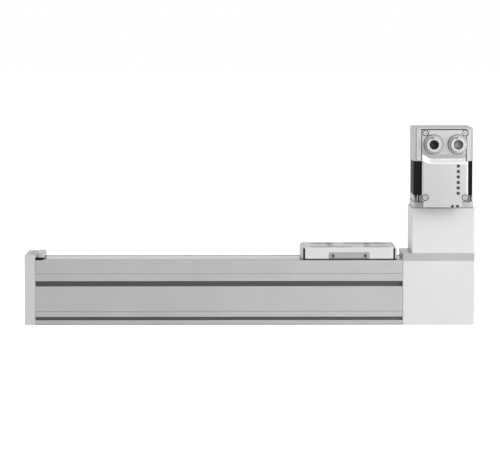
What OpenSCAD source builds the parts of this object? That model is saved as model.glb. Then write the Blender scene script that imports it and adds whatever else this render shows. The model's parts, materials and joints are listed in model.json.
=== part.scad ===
// Belt driven linear axis with its drive standing on the head.
// X runs along the axis towards the drive and Z is up. The origin is the middle of the
// profile's bottom face, and all sizes are in millimetres.

/* [Profile] */
// Length of the extruded profile
profile_length = 350; // [330:5:600]
// Width of the profile
profile_width = 60; // [60:1:66]
// Height of the profile
profile_height = 62; // [62:1:68]
// Radius of the profile's outer edges
profile_edge_radius = 1.2; // [0.6:0.2:2]
// Width of the channel that the carriage runs in
channel_width = 38; // [37.6:0.2:39]
// Thickness of the floor under the guide rail
floor_thickness = 8; // [7.4:0.2:9]
// Height of the sensor slots' middle above the bottom
sensor_slot_z = 39.5; // [38:0.5:41]
// Width of the sensor slots' mouth
sensor_slot_mouth = 5; // [4.4:0.2:5.6]
// Depth of the sensor slots
sensor_slot_depth = 6.2; // [5.4:0.2:6.8]
// Height of the clamping grooves' middle above the bottom
clamp_groove_z = 6.2; // [5.6:0.2:7]
// Width of the clamping grooves' mouth
clamp_groove_mouth = 3.2; // [2.6:0.2:3.8]
// Depth of the clamping grooves
clamp_groove_depth = 4; // [3:0.2:5]

/* [Cover strip] */
// Thickness of the cover strip
strip_thickness = 0.8; // [0.5:0.1:1.2]
// Width of each slit between the strip and the profile
slit_width = 3.6; // [3.4:0.1:4.2]

/* [End cap] */
// Thickness of the end cap
cap_thickness = 10; // [9:0.5:16]
// How far the end cap stands above the profile
cap_rise = 4.8; // [4:0.2:7]
// How far the end cap and the drive head clear the surface that the profile stands on
foot_clearance = 0.5; // [0.3:0.1:1]
// How far the strip clamp reaches over the profile
clamp_reach = 8; // [6:0.5:10]
// Width of the strip clamp
clamp_width = 34; // [30:1:44]

/* [Guide] */
// Width of the guide rail
rail_width = 12; // [10:0.5:14]
// Height of the guide rail
rail_height = 9; // [8:0.5:10]
// Length of the runner block without its end caps
runner_length = 40; // [34:1:44]
// Width of the runner block
runner_width = 34; // [30:1:34]
// Height of the runner block
runner_height = 15; // [13:0.5:16]
// Gap between the runner block and the profile's floor
runner_floor_gap = 3; // [2:0.5:4]

/* [Belt] */
// Pitch of the belt's teeth
belt_pitch = 3; // [3:0.5:3]
// Number of teeth on each pulley
pulley_teeth = 26; // [24:1:26]
// Width of the belt
belt_width = 15; // [10:1:15]
// Height of the belt's teeth
belt_tooth_height = 1.1; // [0.8:0.1:1.3]
// Thickness of the belt behind its pitch line
belt_back = 0.7; // [0.5:0.1:1]
// Distance from the profile's left end to the idler's axis, at least
idler_inset = 18; // [17:0.5:24]

/* [Slide] */
// Length of the slide's machined body
slide_length = 84; // [76:1:110]
// How far each side of the slide lies inside the profile's side
slide_side_inset = 0; // [-2:0.25:2]
// Thickness of the slide
slide_thickness = 11; // [10:0.5:14]
// Gap between the slide and the profile
slide_gap = 1.3; // [1:0.1:2]
// Thickness of each wiper
wiper_thickness = 1.8; // [1:0.1:3]
// Thickness of each end cover
end_cover_thickness = 2; // [1.5:0.1:4]
// Gap between the parked slide and the drive head
park_gap = 5.2; // [4:0.2:20]
// Radius of the slide's upright corners
slide_corner_radius = 6; // [2:0.5:8]
// Radius of the slide's upper edges at its two ends
slide_end_radius = 3; // [1:0.25:3.5]
// Hole spacing along the slide
slide_holes_x = 60; // [50:1:66]
// Hole spacing across the slide
slide_holes_y = 40; // [36:1:44]
// Width of the tag plate on the slide's front
tag_width = 38; // [30:1:44]
// Height of the tag plate
tag_height = 5.4; // [5:0.2:6.4]

/* [Drive head] */
// Length of the drive housing
head_length = 68.5; // [66:0.5:80]
// Thickness of the adapter plate
plate_thickness = 7.1; // [6:0.1:10]
// How far each side of the coupling housing lies inside the profile's side
column_side_inset = 0; // [-2:0.1:0.5]
// Height of the coupling housing
column_height = 43.2; // [42:0.2:60]
// Radius of the drive shaft
drive_shaft_radius = 6; // [5:0.5:6.5]
// Outer radius of the shaft bearings
bearing_radius = 14; // [13:0.5:14]
// Radius of the coupling
coupling_radius = 15; // [13:0.5:16]

/* [Motor] */
// Side of the square motor
motor_width = 57; // [56:0.5:59]
// Thickness of the motor's flange
flange_thickness = 6.3; // [5:0.1:8]
// Height of the motor's front end bell
bell_height = 6; // [6:0.2:8]
// Height of the stator
stator_height = 32.4; // [30:0.2:60]
// Height of the rear housing
rear_height = 32; // [31:0.5:40]
// Radius of the motor shaft
motor_shaft_radius = 4; // [3:0.25:4.5]
// Distance from the motor's side to its fixing screws
motor_screw_inset = 4.93; // [4.5:0.05:5.5]

/* [Controller] */
// Width of the controller hood
hood_width = 43.2; // [42:0.2:46]
// How far the hood stands out from the motor
hood_depth = 22; // [18:0.5:28]
// Depth of the groove across the hood
hood_groove = 2; // [1:0.25:3]
// Thickness of the hood's lower panel
panel_thickness = 6; // [5:0.5:8]
// Distance between the two connectors
inlet_spacing = 22.8; // [20:0.2:23]
// How far the connectors stand out of the hood
inlet_reach = 10; // [7:0.5:13]
// Number of status lights
light_count = 6; // [3:1:6]
// Distance between the status lights
light_pitch = 5.16; // [4:0.1:5.2]

/* [Hidden] */

// Small amount by which a cut passes a face
cut = 1;
// Clearance of a screw in its hole, of a seated ring in its seat and of a running shaft
screw_play = 0.1;
seat_play = 0.02;
running_play = 0.03;
// Clearance between a screw head and the piece beside it
screw_gap = 0.4;
// Clearance between a moving piece and what it passes
moving_gap = 0.6;
$fn = 48;

// Widths that follow the profile and the motor
slide_width = profile_width - 2 * slide_side_inset;
column_width = profile_width - 2 * column_side_inset;
motor_screw_spacing = motor_width - 2 * motor_screw_inset;

// Ends of the profile and middle heights
left_x = -profile_length / 2;
right_x = profile_length / 2;
top_z = profile_height;
head_top_z = top_z - strip_thickness;
column_z = head_top_z + plate_thickness;
motor_z = column_z + column_height;
bell_z = motor_z + flange_thickness;
stator_z = bell_z + bell_height;
rear_z = stator_z + stator_height;
motor_top_z = rear_z + rear_height;

// The drive axis stands in the middle of the coupling housing
head_end_x = right_x + head_length;
drive_x = head_end_x - column_width / 2;

// Screw channels in the profile's four corners
corner_y = profile_width / 2 - 5.4;
corner_low_z = floor_thickness + 6;
corner_high_z = top_z - 8;
corner_screw_radius = 2.5;
corner_head_radius = 4.25;
corner_head_height = 5;

// Guide and saddle heights
rail_z = floor_thickness;
runner_z = rail_z + runner_floor_gap;
runner_top_z = runner_z + runner_height;
saddle_base = 3.5;
saddle_top_z = runner_top_z + saddle_base;
saddle_length = runner_length + 12;
leg_thickness = slit_width - 2 * moving_gap;
leg_out_y = channel_width / 2 - moving_gap;
leg_in_y = leg_out_y - leg_thickness;
strip_half = channel_width / 2 - slit_width;

// Slide heights and places
slide_z = top_z + slide_gap;
slide_top_z = slide_z + slide_thickness;
slide_half = slide_length / 2;
slide_overall_half = slide_half + wiper_thickness + end_cover_thickness;
slide_x = right_x - park_gap - slide_overall_half;
saddle_flange_in_y = 6;
saddle_flange_height = 3.5;

// Belt and pulleys
pitch_radius = pulley_teeth * belt_pitch / (2 * PI);
belt_root = 0.38;
pulley_radius = pitch_radius - 0.5;
groove_depth = belt_tooth_height + 0.15;
tooth_base = 0.65 * belt_pitch;
tooth_tip = 0.34 * belt_pitch;
tooth_play = 0.12;
tooth_angle = 360 / pulley_teeth;
flange_radius = pitch_radius + belt_back + 1.1;
pulley_flange = 1.2;
pulley_side_play = 0.5;
pulley_height = belt_width + 2 * pulley_side_play + 2 * pulley_flange;
belt_z = saddle_top_z + 2;
belt_middle_z = belt_z + belt_width / 2;
pulley_z = belt_middle_z - pulley_height / 2;
pulley_top_z = pulley_z + pulley_height;
half_pitches = floor((drive_x - left_x - idler_inset) / (belt_pitch / 2) + 0.001);
centre_distance = half_pitches * belt_pitch / 2;
idler_x = drive_x - centre_distance;
half_turn = pulley_teeth * belt_pitch / 2;
belt_length = 2 * (centre_distance + half_turn);
belt_teeth = round(belt_length / belt_pitch);

// Where the belt clamp's toothed jaw ends, which the runner block's screws keep clear of
clamp_jaw = 4;
clamp_inner_y = -(pitch_radius - belt_root - belt_tooth_height) + clamp_jaw;

// Drive shaft, its bearings and the chamber round the pulley
bearing_height = 8;
chamber_radius = flange_radius + 1;
chamber_z = pulley_z - 1.2;
chamber_top_z = pulley_top_z + 1.2;
lower_bearing_z = chamber_z - 2 - bearing_height;
upper_bearing_z = head_top_z - bearing_height;
shaft_bottom_z = lower_bearing_z - 0.5;
hub_height = 13;
spider_height = 10;
lower_hub_z = column_z + 1.7;
spider_z = lower_hub_z + hub_height;
upper_hub_z = spider_z + spider_height;
column_bolt_x = 22;
column_bolt_radius = 2;
column_bolt_wall = 1.5;
column_bolt_depth = 12;
column_bolt_y = corner_y - corner_screw_radius - column_bolt_radius - column_bolt_wall;
column_bolt_head_radius = 3.5;
column_bolt_head_height = 4;
pilot_radius = 19.05;
pilot_height = 1.6;

// Controller hood, measured from the drive axis and the motor's front face
motor_front_y = -motor_width / 2;
hood_front_y = motor_front_y - hood_depth;
hood_floor_y = hood_front_y + hood_groove;
hood_wall = 2.4;
hood_top_z = motor_top_z - 0.4;
pad_z = rear_z + 7.8;
panel_top_z = rear_z - 0.7;
panel_z = bell_z + 2;
tongue_z = motor_z + 2.1;
inlet_z = rear_z + 17;
inlet_radius = 8.85;
insert_radius = 4.4;
inlet_root_radius = 7.6;
inlet_root_depth = 5;
inlet_floor = -3;
insert_height = 4.5;
pin_recess = 4.2;
light_x = drive_x + 12.2;
light_top_z = panel_top_z - 2.8;
light_radius = 1.55;
hood_screw_inset = 2.9;
hood_screw_x = hood_width / 2 - hood_screw_inset;
hood_screw_top_z = hood_top_z - 4;
hood_screw_low_z = panel_z + 3.1;
hood_screw_radius = 1.5;
hood_screw_head = 2.35;
hood_screw_seat = hood_front_y + 1.8;

// A block between two corners
module block(low, high) {
  translate(low)
    cube(high - low);
}

// A rectangle with four round corners, about its middle
module round_rect(width, height, radius) {
  square([width - 2 * radius, height], center = true);
  square([width, height - 2 * radius], center = true);
  for (side = [-1, 1])
    for (end = [-1, 1])
      translate([side * (width / 2 - radius), end * (height / 2 - radius)])
        circle(radius);
}

// A rectangle that stands on its base, with its two upper corners round
module arch_rect(width, height, radius) {
  translate([-width / 2, 0])
    square([width, height - radius]);
  translate([radius - width / 2, 0])
    square([width - 2 * radius, height]);
  for (side = [-1, 1])
    translate([side * (width / 2 - radius), height - radius])
      circle(radius);
}

// A block that stands on its base, with round upright edges and a round upper rim
module soft_block(length, width, height, plan_radius, rim_radius) {
  intersection() {
    linear_extrude(height)
      round_rect(length, width, plan_radius);
    rotate([90, 0, 0])
      linear_extrude(width + 2 * cut, center = true)
        arch_rect(length, height, rim_radius);
    rotate([90, 0, 90])
      linear_extrude(length + 2 * cut, center = true)
        arch_rect(width, height, rim_radius);
  }
}

module ring(outer, inner, height) {
  difference() {
    cylinder(r = outer, h = height);
    translate([0, 0, -cut])
      cylinder(r = inner, h = height + 2 * cut);
  }
}

// A socket head screw, its head above the origin and its shank below
module socket_screw(radius, length, head_radius, head_height) {
  difference() {
    union() {
      translate([0, 0, -length])
        cylinder(r = radius, h = length + head_height / 2);
      cylinder(r = head_radius, h = head_height);
    }
    translate([0, 0, head_height * 0.45])
      cylinder(r = head_radius * 0.52, h = head_height, $fn = 6);
  }
}

// The hole for such a screw, open above its head
module socket_hole(radius, length, head_radius, head_height) {
  translate([0, 0, -length - screw_play])
    cylinder(r = radius + screw_play, h = length + cut);
  cylinder(r = head_radius + 2 * screw_play, h = head_height + cut);
}

// Turns something that points up so that its top looks towards -X, +X or -Y
module face_left() {
  rotate([0, -90, 0])
    children();
}

module face_right() {
  rotate([0, 90, 0])
    children();
}

module face_front() {
  rotate([90, 0, 0])
    children();
}

// The four corner channels' places, in a plane across the axis
module at_corners(x) {
  for (side = [-1, 1])
    for (z = [corner_low_z, corner_high_z])
      translate([x, side * corner_y, z])
        children();
}

// ---- Profile, cover strip and end cap ----

module sensor_slot_2d() {
  mouth_depth = 1.6;
  wide = sensor_slot_mouth + 2.6;
  translate([-profile_width / 2 - cut, sensor_slot_z - sensor_slot_mouth / 2])
    square([mouth_depth + 2 * cut, sensor_slot_mouth]);
  translate([-profile_width / 2 + mouth_depth, sensor_slot_z - wide / 2])
    square([sensor_slot_depth - mouth_depth - 1.4, wide]);
  translate([-profile_width / 2 + mouth_depth, sensor_slot_z - sensor_slot_mouth / 2])
    square([sensor_slot_depth - mouth_depth, sensor_slot_mouth]);
}

module clamp_groove_2d() {
  undercut = 1.2;
  translate([-profile_width / 2 - cut, clamp_groove_z - clamp_groove_mouth / 2])
    square([clamp_groove_depth + cut, clamp_groove_mouth]);
  translate([-profile_width / 2 + clamp_groove_depth / 2, clamp_groove_z - clamp_groove_mouth / 2])
    square([clamp_groove_depth / 2, clamp_groove_mouth + undercut]);
}

// A fine line along the side, 0.4 deep
module marking_line_2d(z) {
  line_width = 0.6;
  translate([-profile_width / 2, z])
    rotate(45)
      square(line_width, center = true);
}

module profile_side_cuts_2d() {
  chamber_y = channel_width / 2 + 3;
  chamber_width = profile_width / 2 - chamber_y - 3;
  sensor_slot_2d();
  clamp_groove_2d();
  marking_line_2d(corner_low_z - 1);
  marking_line_2d(sensor_slot_z + 9.4);
  for (z = [corner_low_z, corner_high_z])
    translate([-corner_y, z])
      circle(corner_screw_radius + screw_play);
  translate([-chamber_y - chamber_width, corner_low_z + 5])
    square([chamber_width, sensor_slot_z - corner_low_z - 12]);
}

module profile_section() {
  difference() {
    translate([0, top_z / 2])
      round_rect(profile_width, profile_height, profile_edge_radius);
    translate([-channel_width / 2, floor_thickness])
      square([channel_width, profile_height]);
    profile_side_cuts_2d();
    mirror([1, 0])
      profile_side_cuts_2d();
  }
}

rail_left_x = idler_x + flange_radius + 5;
rail_right_x = right_x - 2;
rail_length = rail_right_x - rail_left_x;
rail_screw_pitch = 60;
rail_screw_count = floor((rail_length - 20) / rail_screw_pitch) + 1;
rail_screw_start_x = (rail_left_x + rail_right_x - (rail_screw_count - 1) * rail_screw_pitch) / 2;
rail_screw_radius = 2;
rail_head_radius = 3.4;
rail_head_height = 3;
rail_screw_length = rail_height - rail_head_height - 1 + 6;
rail_head_z = rail_z + rail_height - rail_head_height - 1;

module at_rail_screws() {
  for (i = [0:rail_screw_count - 1])
    translate([rail_screw_start_x + i * rail_screw_pitch, 0, rail_head_z])
      children();
}

module profile() {
  color("silver")
    difference() {
      rotate([90, 0, 90])
        linear_extrude(profile_length, center = true)
          profile_section();
      at_rail_screws()
        socket_hole(rail_screw_radius, rail_screw_length, rail_screw_radius, 0);
    }
}

// The strip's ends are held under the strip clamp and the adapter plate
strip_left_x = left_x - 6.3;
strip_grip = 10;
adapter_screw_inset = 3;
adapter_screw_radius = 1.25;
adapter_head_radius = 2.1;
adapter_head_height = 1.6;
adapter_screw_y = 22;
clamp_screw_x = left_x - 3.4;
clamp_screw_y = 9;
clamp_screw_radius = 1.5;
clamp_head_radius = 2.75;
clamp_head_height = 1.7;
pad_thickness = slide_gap;

module cover_strip() {
  color("gainsboro")
    difference() {
      block([strip_left_x, -strip_half, top_z - strip_thickness],
            [right_x + strip_grip, strip_half, top_z]);
      for (side = [-1, 1])
        translate([clamp_screw_x, side * clamp_screw_y, top_z - strip_thickness - cut])
          cylinder(r = clamp_screw_radius + screw_play, h = strip_thickness + 2 * cut);
      translate([right_x + adapter_screw_inset, 0, top_z - strip_thickness - cut])
        cylinder(r = adapter_screw_radius + screw_play, h = strip_thickness + 2 * cut);
    }
}

cap_top_z = top_z + cap_rise;
tension_screw_y = 11;
tension_screw_z = rail_z + 11;
tension_screw_radius = 2.5;

module end_cap() {
  cap_x = left_x - cap_thickness / 2;
  color("gainsboro")
    difference() {
      translate([cap_x, 0, foot_clearance])
        soft_block(cap_thickness, profile_width, cap_top_z - foot_clearance, 0.8, 0.6);
      block([strip_left_x, -strip_half - 0.2, top_z - strip_thickness],
            [left_x + cut, strip_half + 0.2, cap_top_z + cut]);
      at_corners(left_x - cap_thickness + corner_head_height)
        face_left()
          socket_hole(corner_screw_radius, cap_thickness, corner_head_radius,
                      corner_head_height);
      for (side = [-1, 1])
        translate([left_x - cap_thickness + corner_head_height, side * tension_screw_y,
                   tension_screw_z])
          face_left()
            socket_hole(tension_screw_radius, cap_thickness, corner_head_radius,
                        corner_head_height);
      for (side = [-1, 1])
        translate([clamp_screw_x, side * clamp_screw_y, top_z - 8])
          cylinder(r = clamp_screw_radius + screw_play, h = 10);
    }
}

module end_cap_screws() {
  color("dimgray")
    at_corners(left_x - cap_thickness + corner_head_height)
      face_left()
        socket_screw(corner_screw_radius, cap_thickness - corner_head_height + 16,
                     corner_head_radius, corner_head_height);
}

module strip_clamp() {
  ledge = 1.7;
  nose_rise = 1.6;
  color("gainsboro")
    difference() {
      union() {
        block([strip_left_x + 0.2, -strip_half, top_z], [left_x, strip_half, cap_top_z]);
        block([left_x, -strip_half, top_z + pad_thickness],
              [left_x + ledge, strip_half, cap_top_z]);
        translate([left_x + clamp_reach / 2 + ledge / 2, 0, top_z + pad_thickness])
          soft_block(clamp_reach - ledge, clamp_width, cap_rise - pad_thickness + nose_rise,
                     1.2, 0.5);
      }
      for (side = [-1, 1])
        translate([clamp_screw_x, side * clamp_screw_y, cap_top_z - clamp_head_height])
          socket_hole(clamp_screw_radius, cap_rise, clamp_head_radius, clamp_head_height);
    }
}

module strip_clamp_screws() {
  color("dimgray")
    for (side = [-1, 1])
      translate([clamp_screw_x, side * clamp_screw_y, cap_top_z - clamp_head_height])
        socket_screw(clamp_screw_radius, cap_rise + 4, clamp_head_radius, clamp_head_height);
}

module end_buffer() {
  color("black")
    translate([left_x + clamp_reach / 2 - 0.4, 0, top_z])
      linear_extrude(pad_thickness)
        round_rect(clamp_reach - 0.8, profile_width - 6, 1);
}

// ---- Guide rail ----

module guide_rail() {
  ball_groove = 0.9;
  color("lightgray")
    difference() {
      block([rail_left_x, -rail_width / 2, rail_z],
            [rail_right_x, rail_width / 2, rail_z + rail_height]);
      for (side = [-1, 1])
        translate([0, side * (rail_width / 2 + 0.4), rail_z + rail_height * 0.68])
          rotate([0, 90, 0])
            cylinder(r = ball_groove + 0.4, h = profile_length, center = true);
      at_rail_screws()
        socket_hole(rail_screw_radius, rail_screw_length, rail_head_radius,
                    rail_head_height);
    }
}

module rail_screws() {
  color("dimgray")
    at_rail_screws()
      socket_screw(rail_screw_radius, rail_screw_length - 0.5, rail_head_radius,
                   rail_head_height);
}

// ---- Idler ----

axle_radius = 4;
idler_bearing_radius = 8;
idler_bearing_height = 5;
yoke_play = 0.3;
yoke_half_width = channel_width / 2 - yoke_play;
yoke_left_x = left_x + yoke_play;
yoke_right_x = idler_x + flange_radius;
yoke_top_z = pulley_top_z + 8;
yoke_gap = 0.5;

module idler_yoke() {
  side_wall = 2.8;
  color("darkgray")
    difference() {
      block([yoke_left_x, -yoke_half_width, rail_z], [yoke_right_x, yoke_half_width, yoke_top_z]);
      block([idler_x - flange_radius - 1, side_wall - yoke_half_width, pulley_z - yoke_gap],
            [yoke_right_x + cut, yoke_half_width - side_wall, pulley_top_z + yoke_gap]);
      translate([idler_x, 0, rail_z + 6])
        cylinder(r = axle_radius + seat_play, h = yoke_top_z);
      for (side = [-1, 1])
        translate([yoke_left_x - cut, side * tension_screw_y, tension_screw_z])
          rotate([0, 90, 0])
            cylinder(r = tension_screw_radius + screw_play, h = 22 + cut);
    }
}

module idler_axle() {
  color("lightgray")
    translate([idler_x, 0, rail_z + 6])
      cylinder(r = axle_radius, h = yoke_top_z - rail_z - 6);
}

module tension_screws() {
  color("dimgray")
    for (side = [-1, 1])
      translate([left_x - cap_thickness + corner_head_height, side * tension_screw_y,
                 tension_screw_z])
        face_left()
          socket_screw(tension_screw_radius, cap_thickness - corner_head_height + 20,
                       corner_head_radius, corner_head_height);
}

// ---- Toothed belt and pulleys ----

// A point on the belt's loop, a distance along it and a depth inside its pitch line.
// The loop starts under the drive axis, goes round it, and comes back by the idler.
function loop_point(along, depth) =
  let (s = (along + belt_length) % belt_length,
       r = pitch_radius - depth,
       idler_start = half_turn + centre_distance)
    s < half_turn
      ? let (a = -90 + 180 * s / half_turn) [drive_x + r * cos(a), r * sin(a)]
      : s < idler_start
        ? [drive_x - (s - half_turn), r]
        : s < idler_start + half_turn
          ? let (a = 90 + 180 * (s - idler_start) / half_turn) [idler_x + r * cos(a), r * sin(a)]
          : [idler_x + (s - idler_start - half_turn), -r];

function tooth_points(k) =
  let (s = k * belt_pitch)
    [loop_point(s - tooth_base / 2, belt_root),
     loop_point(s - tooth_tip / 2, belt_root + belt_tooth_height),
     loop_point(s + tooth_tip / 2, belt_root + belt_tooth_height),
     loop_point(s + tooth_base / 2, belt_root)];

module racetrack(radius) {
  for (x = [idler_x, drive_x])
    translate([x, 0])
      circle(radius, $fn = 96);
  translate([idler_x, -radius])
    square([centre_distance, 2 * radius]);
}

module toothed_belt() {
  color("dimgray")
    translate([0, 0, belt_z])
      linear_extrude(belt_width)
        difference() {
          racetrack(pitch_radius + belt_back);
          polygon([for (k = [0:belt_teeth - 1]) each tooth_points(k)]);
        }
}

// The toothed outline of a pulley whose first groove looks along the angle phase
module pulley_outline(phase) {
  bottom = pulley_radius - groove_depth;
  half_tip = tooth_tip / 2 + tooth_play;
  half_base = tooth_base / 2 + tooth_play;
  flare = (half_base - half_tip) / groove_depth;
  difference() {
    circle(pulley_radius, $fn = 96);
    for (k = [0:pulley_teeth - 1])
      rotate(phase + k * tooth_angle)
        polygon([[bottom, -half_tip], [pulley_radius + cut, -half_base - flare * cut],
                 [pulley_radius + cut, half_base + flare * cut], [bottom, half_tip]]);
  }
}

module pulley(phase, bore) {
  difference() {
    union() {
      translate([0, 0, pulley_flange])
        linear_extrude(pulley_height - 2 * pulley_flange)
          pulley_outline(phase);
      cylinder(r = flange_radius, h = pulley_flange);
      translate([0, 0, pulley_height - pulley_flange])
        cylinder(r = flange_radius, h = pulley_flange);
    }
    translate([0, 0, -cut])
      cylinder(r = bore, h = pulley_height + 2 * cut);
  }
}

module idler_pulley() {
  idler_phase = 90 - tooth_angle * (half_turn + centre_distance) / belt_pitch;
  color("silver")
    translate([idler_x, 0, pulley_z])
      pulley(idler_phase, idler_bearing_radius);
}

module idler_bearings() {
  color("lightgray")
    for (z = [pulley_z, pulley_top_z - idler_bearing_height])
      translate([idler_x, 0, z])
        ring(idler_bearing_radius - seat_play, axle_radius + running_play,
             idler_bearing_height);
}

module drive_pulley() {
  color("silver")
    translate([drive_x, 0, pulley_z])
      pulley(-90, drive_shaft_radius + seat_play);
}

// ---- Drive head ----

module at_column_bolts(z) {
  for (end = [-1, 1])
    for (side = [-1, 1])
      translate([drive_x + end * column_bolt_x, side * column_bolt_y, z])
        rotate([180, 0, 0])
          children();
}

module drive_housing() {
  housing_middle_x = (right_x + head_end_x) / 2;
  color("whitesmoke")
    difference() {
      translate([housing_middle_x, 0, foot_clearance])
        linear_extrude(head_top_z - foot_clearance)
          round_rect(head_length, profile_width, 0.8);
      translate([drive_x, 0, chamber_z])
        cylinder(r = chamber_radius, h = chamber_top_z - chamber_z);
      block([right_x - cut, -chamber_radius, chamber_z], [drive_x, chamber_radius, chamber_top_z]);
      translate([drive_x, 0, lower_bearing_z])
        cylinder(r = bearing_radius, h = head_top_z);
      translate([drive_x, 0, shaft_bottom_z - 1])
        cylinder(r = drive_shaft_radius + 1, h = 3);
      at_corners(head_end_x - corner_head_height)
        face_right()
          socket_hole(corner_screw_radius, head_length, corner_head_radius,
                      corner_head_height);
      at_column_bolts(foot_clearance + column_bolt_head_height)
        socket_hole(column_bolt_radius, head_top_z, column_bolt_head_radius,
                    column_bolt_head_height);
      for (y = [-adapter_screw_y, 0, adapter_screw_y])
        translate([right_x + adapter_screw_inset, y, head_top_z - 6])
          cylinder(r = adapter_screw_radius + screw_play, h = 7);
    }
}

module housing_bolts() {
  color("dimgray")
    at_corners(head_end_x - corner_head_height)
      face_right()
        socket_screw(corner_screw_radius, head_length - corner_head_height + 15,
                     corner_head_radius, corner_head_height);
}

module column_bolts() {
  color("dimgray")
    at_column_bolts(foot_clearance + column_bolt_head_height)
      socket_screw(column_bolt_radius,
                   column_z + column_bolt_depth - foot_clearance - column_bolt_head_height,
                   column_bolt_head_radius, column_bolt_head_height);
}

module shaft_bearings() {
  color("lightgray")
    for (z = [lower_bearing_z, upper_bearing_z])
      translate([drive_x, 0, z])
        ring(bearing_radius - seat_play, drive_shaft_radius + running_play, bearing_height);
}

module drive_shaft() {
  color("lightgray")
    translate([drive_x, 0, shaft_bottom_z])
      cylinder(r = drive_shaft_radius, h = spider_z - 1 - shaft_bottom_z);
}

module adapter_plate() {
  plate_middle_x = (right_x + head_end_x) / 2;
  color("silver")
    difference() {
      translate([plate_middle_x, 0, head_top_z])
        linear_extrude(plate_thickness)
          round_rect(head_length, profile_width, 0.8);
      block([right_x - cut, -strip_half - 0.2, head_top_z - cut],
            [right_x + strip_grip + 0.2, strip_half + 0.2, top_z]);
      translate([drive_x, 0, head_top_z - cut])
        cylinder(r = drive_shaft_radius + 3, h = plate_thickness + 2 * cut);
      at_column_bolts(head_top_z)
        cylinder(r = column_bolt_radius + screw_play, h = 4 * plate_thickness, center = true);
      for (y = [-adapter_screw_y, 0, adapter_screw_y])
        translate([right_x + adapter_screw_inset, y, column_z - adapter_head_height])
          socket_hole(adapter_screw_radius, plate_thickness, adapter_head_radius,
                      adapter_head_height);
    }
}

module adapter_screws() {
  color("dimgray")
    for (y = [-adapter_screw_y, 0, adapter_screw_y])
      translate([right_x + adapter_screw_inset, y, column_z - adapter_head_height])
        socket_screw(adapter_screw_radius, plate_thickness + 3, adapter_head_radius,
                     adapter_head_height);
}

module at_motor_screws(z) {
  for (end = [-1, 1])
    for (side = [-1, 1])
      translate([drive_x + end * motor_screw_spacing / 2, side * motor_screw_spacing / 2, z])
        children();
}

motor_screw_radius = 2.2;
motor_head_radius = 3.6;
motor_head_height = 4;
motor_screw_depth = 12;
pocket_slot = 1.2;
seam_height = 0.6;
seam_depth = 0.8;
seam_rise = 0.1;
flange_corner = 3;
bell_corner = 3;

module coupling_housing() {
  color("whitesmoke")
    difference() {
      translate([drive_x, 0, column_z])
        linear_extrude(column_height)
          round_rect(column_width, column_width, 1.2);
      translate([drive_x, 0, column_z - cut])
        cylinder(r = pilot_radius, h = column_height + 2 * cut);
      at_motor_screws(motor_z)
        socket_hole(motor_screw_radius, motor_screw_depth, motor_screw_radius, 0);
      at_column_bolts(column_z - cut)
        translate([0, 0, -column_bolt_depth - 2 - cut])
          cylinder(r = column_bolt_radius + screw_play, h = column_bolt_depth + 2 + cut);
    }
}

// ---- Coupling ----

claw_count = 3;
claw_angle = 120;

// The part of a ring between two angles, for angles up to 180 degrees
module ring_sector(outer, inner, sector, height) {
  reach = 2 * outer;
  linear_extrude(height)
    difference() {
      intersection() {
        circle(outer);
        polygon([[0, 0], [reach * cos(sector / 2), -reach * sin(sector / 2)],
                 [reach, 0], [reach * cos(sector / 2), reach * sin(sector / 2)]]);
      }
      circle(inner);
    }
}

hub_screw_radius = 1.5;
hub_screw_length = 18;
claw_inner_radius = 6.5;
claw_width_angle = 46;

// The clamping screw across a hub's slit, or the hole for it
module hub_screw(radius, length) {
  translate([coupling_radius * 0.68, 0, hub_height * 0.4])
    rotate([90, 0, 0])
      cylinder(r = radius, h = length, center = true);
}

// A wedge from the middle outwards, as wide as one claw
module claw_wedge() {
  reach = 2 * coupling_radius;
  half = claw_width_angle / 2;
  polygon([[0, 0], [reach * cos(half), -reach * sin(half)],
           [reach * cos(half), reach * sin(half)]]);
}

// Everything beside and between the claws, cut away in one piece
module claw_gaps(height) {
  linear_extrude(height)
    difference() {
      circle(coupling_radius + 2);
      for (i = [0:claw_count - 1])
        rotate(i * claw_angle)
          difference() {
            claw_wedge();
            circle(claw_inner_radius);
          }
    }
}

module coupling_hub(bore) {
  claw_height = spider_height - 1.5;
  slit = 1.2;
  difference() {
    cylinder(r = coupling_radius, h = hub_height + claw_height);
    translate([0, 0, hub_height])
      claw_gaps(claw_height + cut);
    translate([0, 0, -cut])
      cylinder(r = bore, h = hub_height + 2 * cut);
    translate([0, -slit / 2, -cut])
      cube([coupling_radius + cut, slit, hub_height - 1]);
    hub_screw(hub_screw_radius + screw_play, 2 * coupling_radius);
  }
}

module place_lower_hub() {
  translate([drive_x, 0, lower_hub_z])
    children();
}

module place_upper_hub() {
  translate([drive_x, 0, upper_hub_z + hub_height])
    rotate([180, 0, 60])
      children();
}

module coupling_lower_hub() {
  color("silver")
    place_lower_hub()
      coupling_hub(drive_shaft_radius + seat_play);
}

module coupling_upper_hub() {
  color("silver")
    place_upper_hub()
      coupling_hub(motor_shaft_radius + seat_play);
}

module coupling_spider() {
  spider_play = 0.2;
  arm_angle = 12;
  color("firebrick")
    translate([drive_x, 0, spider_z + spider_play])
      union() {
        ring(6.2, 3, spider_height - 2 * spider_play);
        for (i = [0:5])
          rotate(30 + i * 60)
            ring_sector(coupling_radius - 0.4, 5.8, arm_angle, spider_height - 2 * spider_play);
      }
}

module coupling_screws() {
  color("dimgray") {
    place_lower_hub()
      hub_screw(hub_screw_radius, hub_screw_length);
    place_upper_hub()
      hub_screw(hub_screw_radius, hub_screw_length);
  }
}

// ---- Motor ----

module motor_square(side, corner, height) {
  linear_extrude(height)
    intersection() {
      square(side, center = true);
      rotate(45)
        square(side * sqrt(2) - 2 * corner, center = true);
    }
}

motor_bearing_radius = 11;
motor_bearing_height = 7;
motor_front_bearing_z = bell_z;
rotor_radius = 19;
air_gap = 0.5;

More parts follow.
